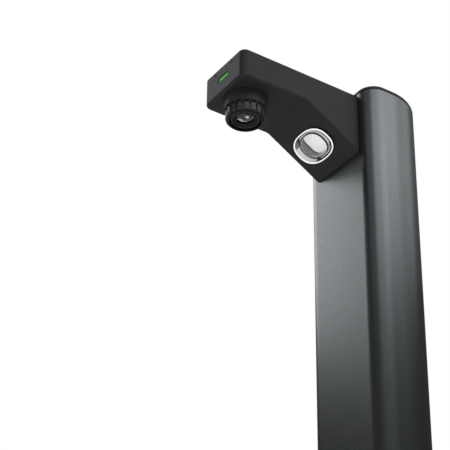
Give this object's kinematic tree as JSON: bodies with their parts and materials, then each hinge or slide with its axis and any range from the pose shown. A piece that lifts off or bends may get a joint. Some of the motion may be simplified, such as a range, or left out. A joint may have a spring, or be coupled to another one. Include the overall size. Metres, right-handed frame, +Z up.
{
  "type": "document camera",
  "caption": "Desk-top document camera: a D-section aluminium column on a weighted base carries a short camera arm with a focus ring and an oval lamp.",
  "frame": {"origin": "on the desk, under the centre of the plan outline, close below the column's front face", "axes": "+Z up, -Y the way the camera arm points, +X to the right seen from the arm's end looking back along +Y"},
  "size_m": [0.18, 0.2008, 0.43],
  "materials": {
    "head_black": "fine spark-eroded matt black moulding",
    "lens_black": "satin black",
    "anodised_grey": "fine bead-blasted dark grey anodising",
    "chrome": "polished",
    "steel": "zinc plated",
    "cast_iron": "as cast",
    "glass": "coated, clear",
    "circuit_green": "solder mask",
    "sensor_glass": "polished cover over the die",
    "lamp_white": "white",
    "light_green": "translucent, lit green",
    "rubber": "matt",
    "cable_black": "satin cable jacket"
  },
  "bodies": {
    "stand": {"head_housing": "head_black", "head_top_cover": "head_black", "lens_collar": "head_black", "sensor_frame": "head_black", "column_cap": "head_black", "base_shell": "head_black", "column_tube": "anodised_grey", "lamp_bezel": "chrome", "lamp_reflector": "chrome", "lid_screw_left": "steel", "lid_screw_right": "steel", "microphone_left": "steel", "microphone_right": "steel", "arm_bracket": "steel", "backing_plate": "steel", "arm_bolt_left": "steel", "arm_bolt_right": "steel", "column_foot": "steel", "column_bolt_left": "steel", "column_bolt_right": "steel", "base_plate": "steel", "base_screw_front_left": "steel", "base_screw_front_right": "steel", "base_screw_rear_left": "steel", "base_screw_rear_right": "steel", "usb_c_socket": "steel", "usb_a_socket": "steel", "base_weight_left": "cast_iron", "base_weight_right": "cast_iron", "lamp_lens": "glass", "status_led_board": "circuit_green", "sensor_board": "circuit_green", "camera_board": "circuit_green", "interface_board": "circuit_green", "key_board_left": "circuit_green", "key_board_right": "circuit_green", "image_sensor": "sensor_glass", "lamp_led_board": "lamp_white", "lamp_emitter": "lamp_white", "status_light_guide": "light_green", "column_trim": "rubber", "base_pad": "rubber", "wiring_harness": "cable_black"},
    "focus_ring": {"focus_ring": "lens_black"},
    "lens_cell": {"lens_cell": "lens_black", "front_lens": "glass", "aperture_ring": "lens_black", "lens_element_2": "glass", "air_space_ring": "lens_black", "lens_element_3": "glass", "lens_element_4": "glass", "thin_spacer": "lens_black", "rear_lens": "glass", "rear_spacer": "lens_black", "lens_lock_ring": "steel"},
    "key_power": {"key_power": "head_black"},
    "key_lamp": {"key_lamp": "head_black"},
    "key_focus": {"key_focus": "head_black"},
    "key_capture": {"key_capture": "head_black"}
  },
  "joints": [
    {"name": "focus_turn", "type": "hinge", "parent": "stand", "child": "focus_ring", "pos_m": [0, -0.0812, 0.385], "axis": [0, 0, 1], "range_deg": [-135, 135]},
    {"name": "lens_travel", "type": "slide", "parent": "stand", "child": "lens_cell", "axis": [0, 0, 1], "range_m": [-0.0009, 0.0009]},
    {"name": "power_press", "type": "slide", "parent": "stand", "child": "key_power", "axis": [0, 0, -1], "range_m": [0, 0.0008], "stiffness_N_per_m": 1000},
    {"name": "lamp_press", "type": "slide", "parent": "stand", "child": "key_lamp", "axis": [0, 0, -1], "range_m": [0, 0.0008], "stiffness_N_per_m": 1000},
    {"name": "focus_press", "type": "slide", "parent": "stand", "child": "key_focus", "axis": [0, 0, -1], "range_m": [0, 0.0008], "stiffness_N_per_m": 1000},
    {"name": "capture_press", "type": "slide", "parent": "stand", "child": "key_capture", "axis": [0, 0, -1], "range_m": [0, 0.0008], "stiffness_N_per_m": 1000}
  ],
  "couplings": [
    {"joint": "lens_travel", "follows": "focus_turn", "m_per_rad": 0.00038197}
  ]
}
